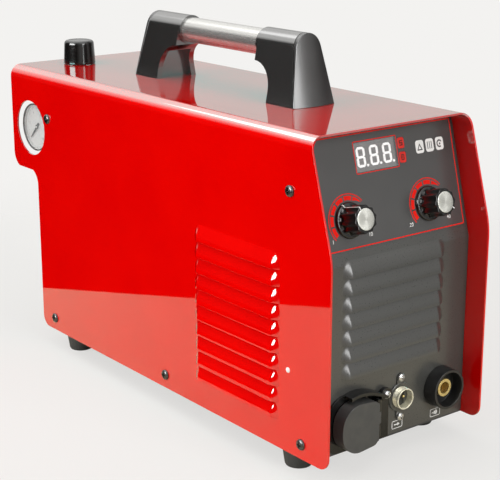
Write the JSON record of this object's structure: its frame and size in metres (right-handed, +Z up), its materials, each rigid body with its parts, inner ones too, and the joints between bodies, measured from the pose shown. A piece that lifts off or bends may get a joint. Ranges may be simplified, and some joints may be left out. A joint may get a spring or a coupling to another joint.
{
  "type": "plasma cutter unit",
  "caption": "Portable plasma cutter power unit: folded sheet cover, sloped control front with two knobs, hose and cable sockets, bar handle, and air regulator with gauge under a rear hood.",
  "frame": {"origin": "centre of the bounding box's bottom face, on the surface that the feet stand on", "axes": "+X to the right seen from the front, -Y to the front with the controls, +Y to the hood and the fan, +Z up"},
  "size_m": [0.1572, 0.423, 0.2941],
  "materials": {
    "red_cover": "glossy powder coat",
    "zinc_tray": "zinc plated",
    "grey_panel": "satin, fine grain",
    "black_sheet": "satin powder coat",
    "black_screw": "black oxide",
    "control_film": "printed film",
    "grey_window": "tinted, smooth",
    "module_grey": "smooth",
    "digit_white": "lit segments",
    "lamp_red": "translucent",
    "board_green": "solder mask",
    "pot_metal": "stamped",
    "knob_black": "glossy",
    "disc_silver": "spun",
    "dark_plastic": "satin",
    "flap_grey": "satin",
    "pin_steel": "plain",
    "brass": "machined",
    "gloss_black": "glossy",
    "nickel": "nickel plated",
    "screw_steel": "zinc plated",
    "post_black": "satin",
    "cap_black": "semi gloss",
    "grip_aluminium": "satin anodised",
    "cast_grey": "painted die casting",
    "bracket_steel": "zinc plated",
    "bowl_clear": "translucent",
    "hose_black": "matte",
    "dial_white": "printed",
    "lens_clear": "clear",
    "fan_black": "moulded",
    "guard_wire": "plated wire",
    "rocker_red": "smooth",
    "foot_rubber": "matte",
    "core_brown": "lacquered"
  },
  "bodies": {
    "case": {"cover": "red_cover", "base_tray": "zinc_tray", "front_panel": "grey_panel", "rear_panel": "black_sheet", "cover_screws": "black_screw", "control_film": "control_film", "display_window": "grey_window", "display_module": "module_grey", "display_segments": "digit_white", "indicator_lamps": "lamp_red", "control_board": "board_green", "potentiometers": "pot_metal", "torch_base": "dark_plastic", "torch_hinge_pin": "pin_steel", "torch_fitting": "brass", "torch_strap": "gloss_black", "signal_barrel": "nickel", "signal_insert": "dark_plastic", "signal_pins": "brass", "socket_screws": "screw_steel", "earth_shroud": "post_black", "earth_contact": "brass", "front_post": "post_black", "rear_post": "post_black", "front_end_cap": "cap_black", "rear_end_cap": "cap_black", "grip_tube": "grip_aluminium", "handle_screws": "screw_steel", "regulator_body": "cast_grey", "regulator_bonnet": "dark_plastic", "regulator_bracket": "bracket_steel", "filter_bowl": "bowl_clear", "air_inlet": "brass", "air_outlet": "hose_black", "gauge_case": "black_sheet", "gauge_dial": "dial_white", "gauge_glass": "lens_clear", "fan_frame": "fan_black", "fan_guard": "guard_wire", "power_switch": "dark_plastic", "cord_gland": "dark_plastic", "feet": "foot_rubber", "foot_screws": "screw_steel", "power_board": "board_green", "heat_sinks": "grip_aluminium", "transformer": "core_brown", "solenoid_valve": "cast_grey"},
    "left_knob_body": {"left_knob": "knob_black", "left_knob_shaft": "pin_steel", "left_knob_disc": "disc_silver"},
    "right_knob_body": {"right_knob": "knob_black", "right_knob_shaft": "pin_steel", "right_knob_disc": "disc_silver"},
    "flap": {"torch_flap": "flap_grey"},
    "pressure_screw": {"regulator_stem": "pin_steel"},
    "pressure_knob": {"regulator_knob": "gloss_black"},
    "drain": {"drain_valve": "dark_plastic"},
    "needle": {"gauge_needle": "black_screw"},
    "rotor": {"fan_rotor": "fan_black"},
    "rocker": {"switch_rocker": "rocker_red"}
  },
  "joints": [
    {"name": "left_knob_turn", "type": "hinge", "parent": "case", "child": "left_knob_body", "pos_m": [-0.0375, -0.19383, 0.18217], "axis": [0, -0.9677, 0.2521], "range_deg": [-160, 110]},
    {"name": "right_knob_turn", "type": "hinge", "parent": "case", "child": "right_knob_body", "pos_m": [0.0375, -0.19383, 0.18217], "axis": [0, -0.9677, 0.2521], "range_deg": [-10, 260]},
    {"name": "torch_flap_swing", "type": "hinge", "parent": "case", "child": "flap", "pos_m": [-0.018, -0.1987, 0.0365], "axis": [0, 0, 1], "range_deg": [0, 90]},
    {"name": "pressure_screw_turn", "type": "hinge", "parent": "case", "child": "pressure_screw", "pos_m": [-0.024, 0.18, 0.242], "axis": [0, 0, 1], "range_deg": [-1080, 0]},
    {"name": "pressure_knob_lift", "type": "slide", "parent": "pressure_screw", "child": "pressure_knob", "axis": [0, 0, 1], "range_m": [0, 0.003]},
    {"name": "drain_valve_push", "type": "slide", "parent": "case", "child": "drain", "axis": [0, 0, 1], "range_m": [0, 0.0025], "stiffness_N_per_m": 100, "springref_m": -0.002},
    {"name": "gauge_needle_turn", "type": "hinge", "parent": "case", "child": "needle", "pos_m": [-0.0714, 0.18, 0.191], "axis": [1, 0, 0], "range_deg": [0, 270], "stiffness_Nm_per_rad": 0.0001, "springref_deg": -28.65},
    {"name": "fan_spin", "type": "hinge", "parent": "case", "child": "rotor", "pos_m": [0.022, 0.141, 0.068], "axis": [0, 1, 0], "continuous": true},
    {"name": "power_rocker_tilt", "type": "hinge", "parent": "case", "child": "rocker", "pos_m": [0.04, 0.152, 0.191], "axis": [1, 0, 0], "range_deg": [0, 18]}
  ]
}
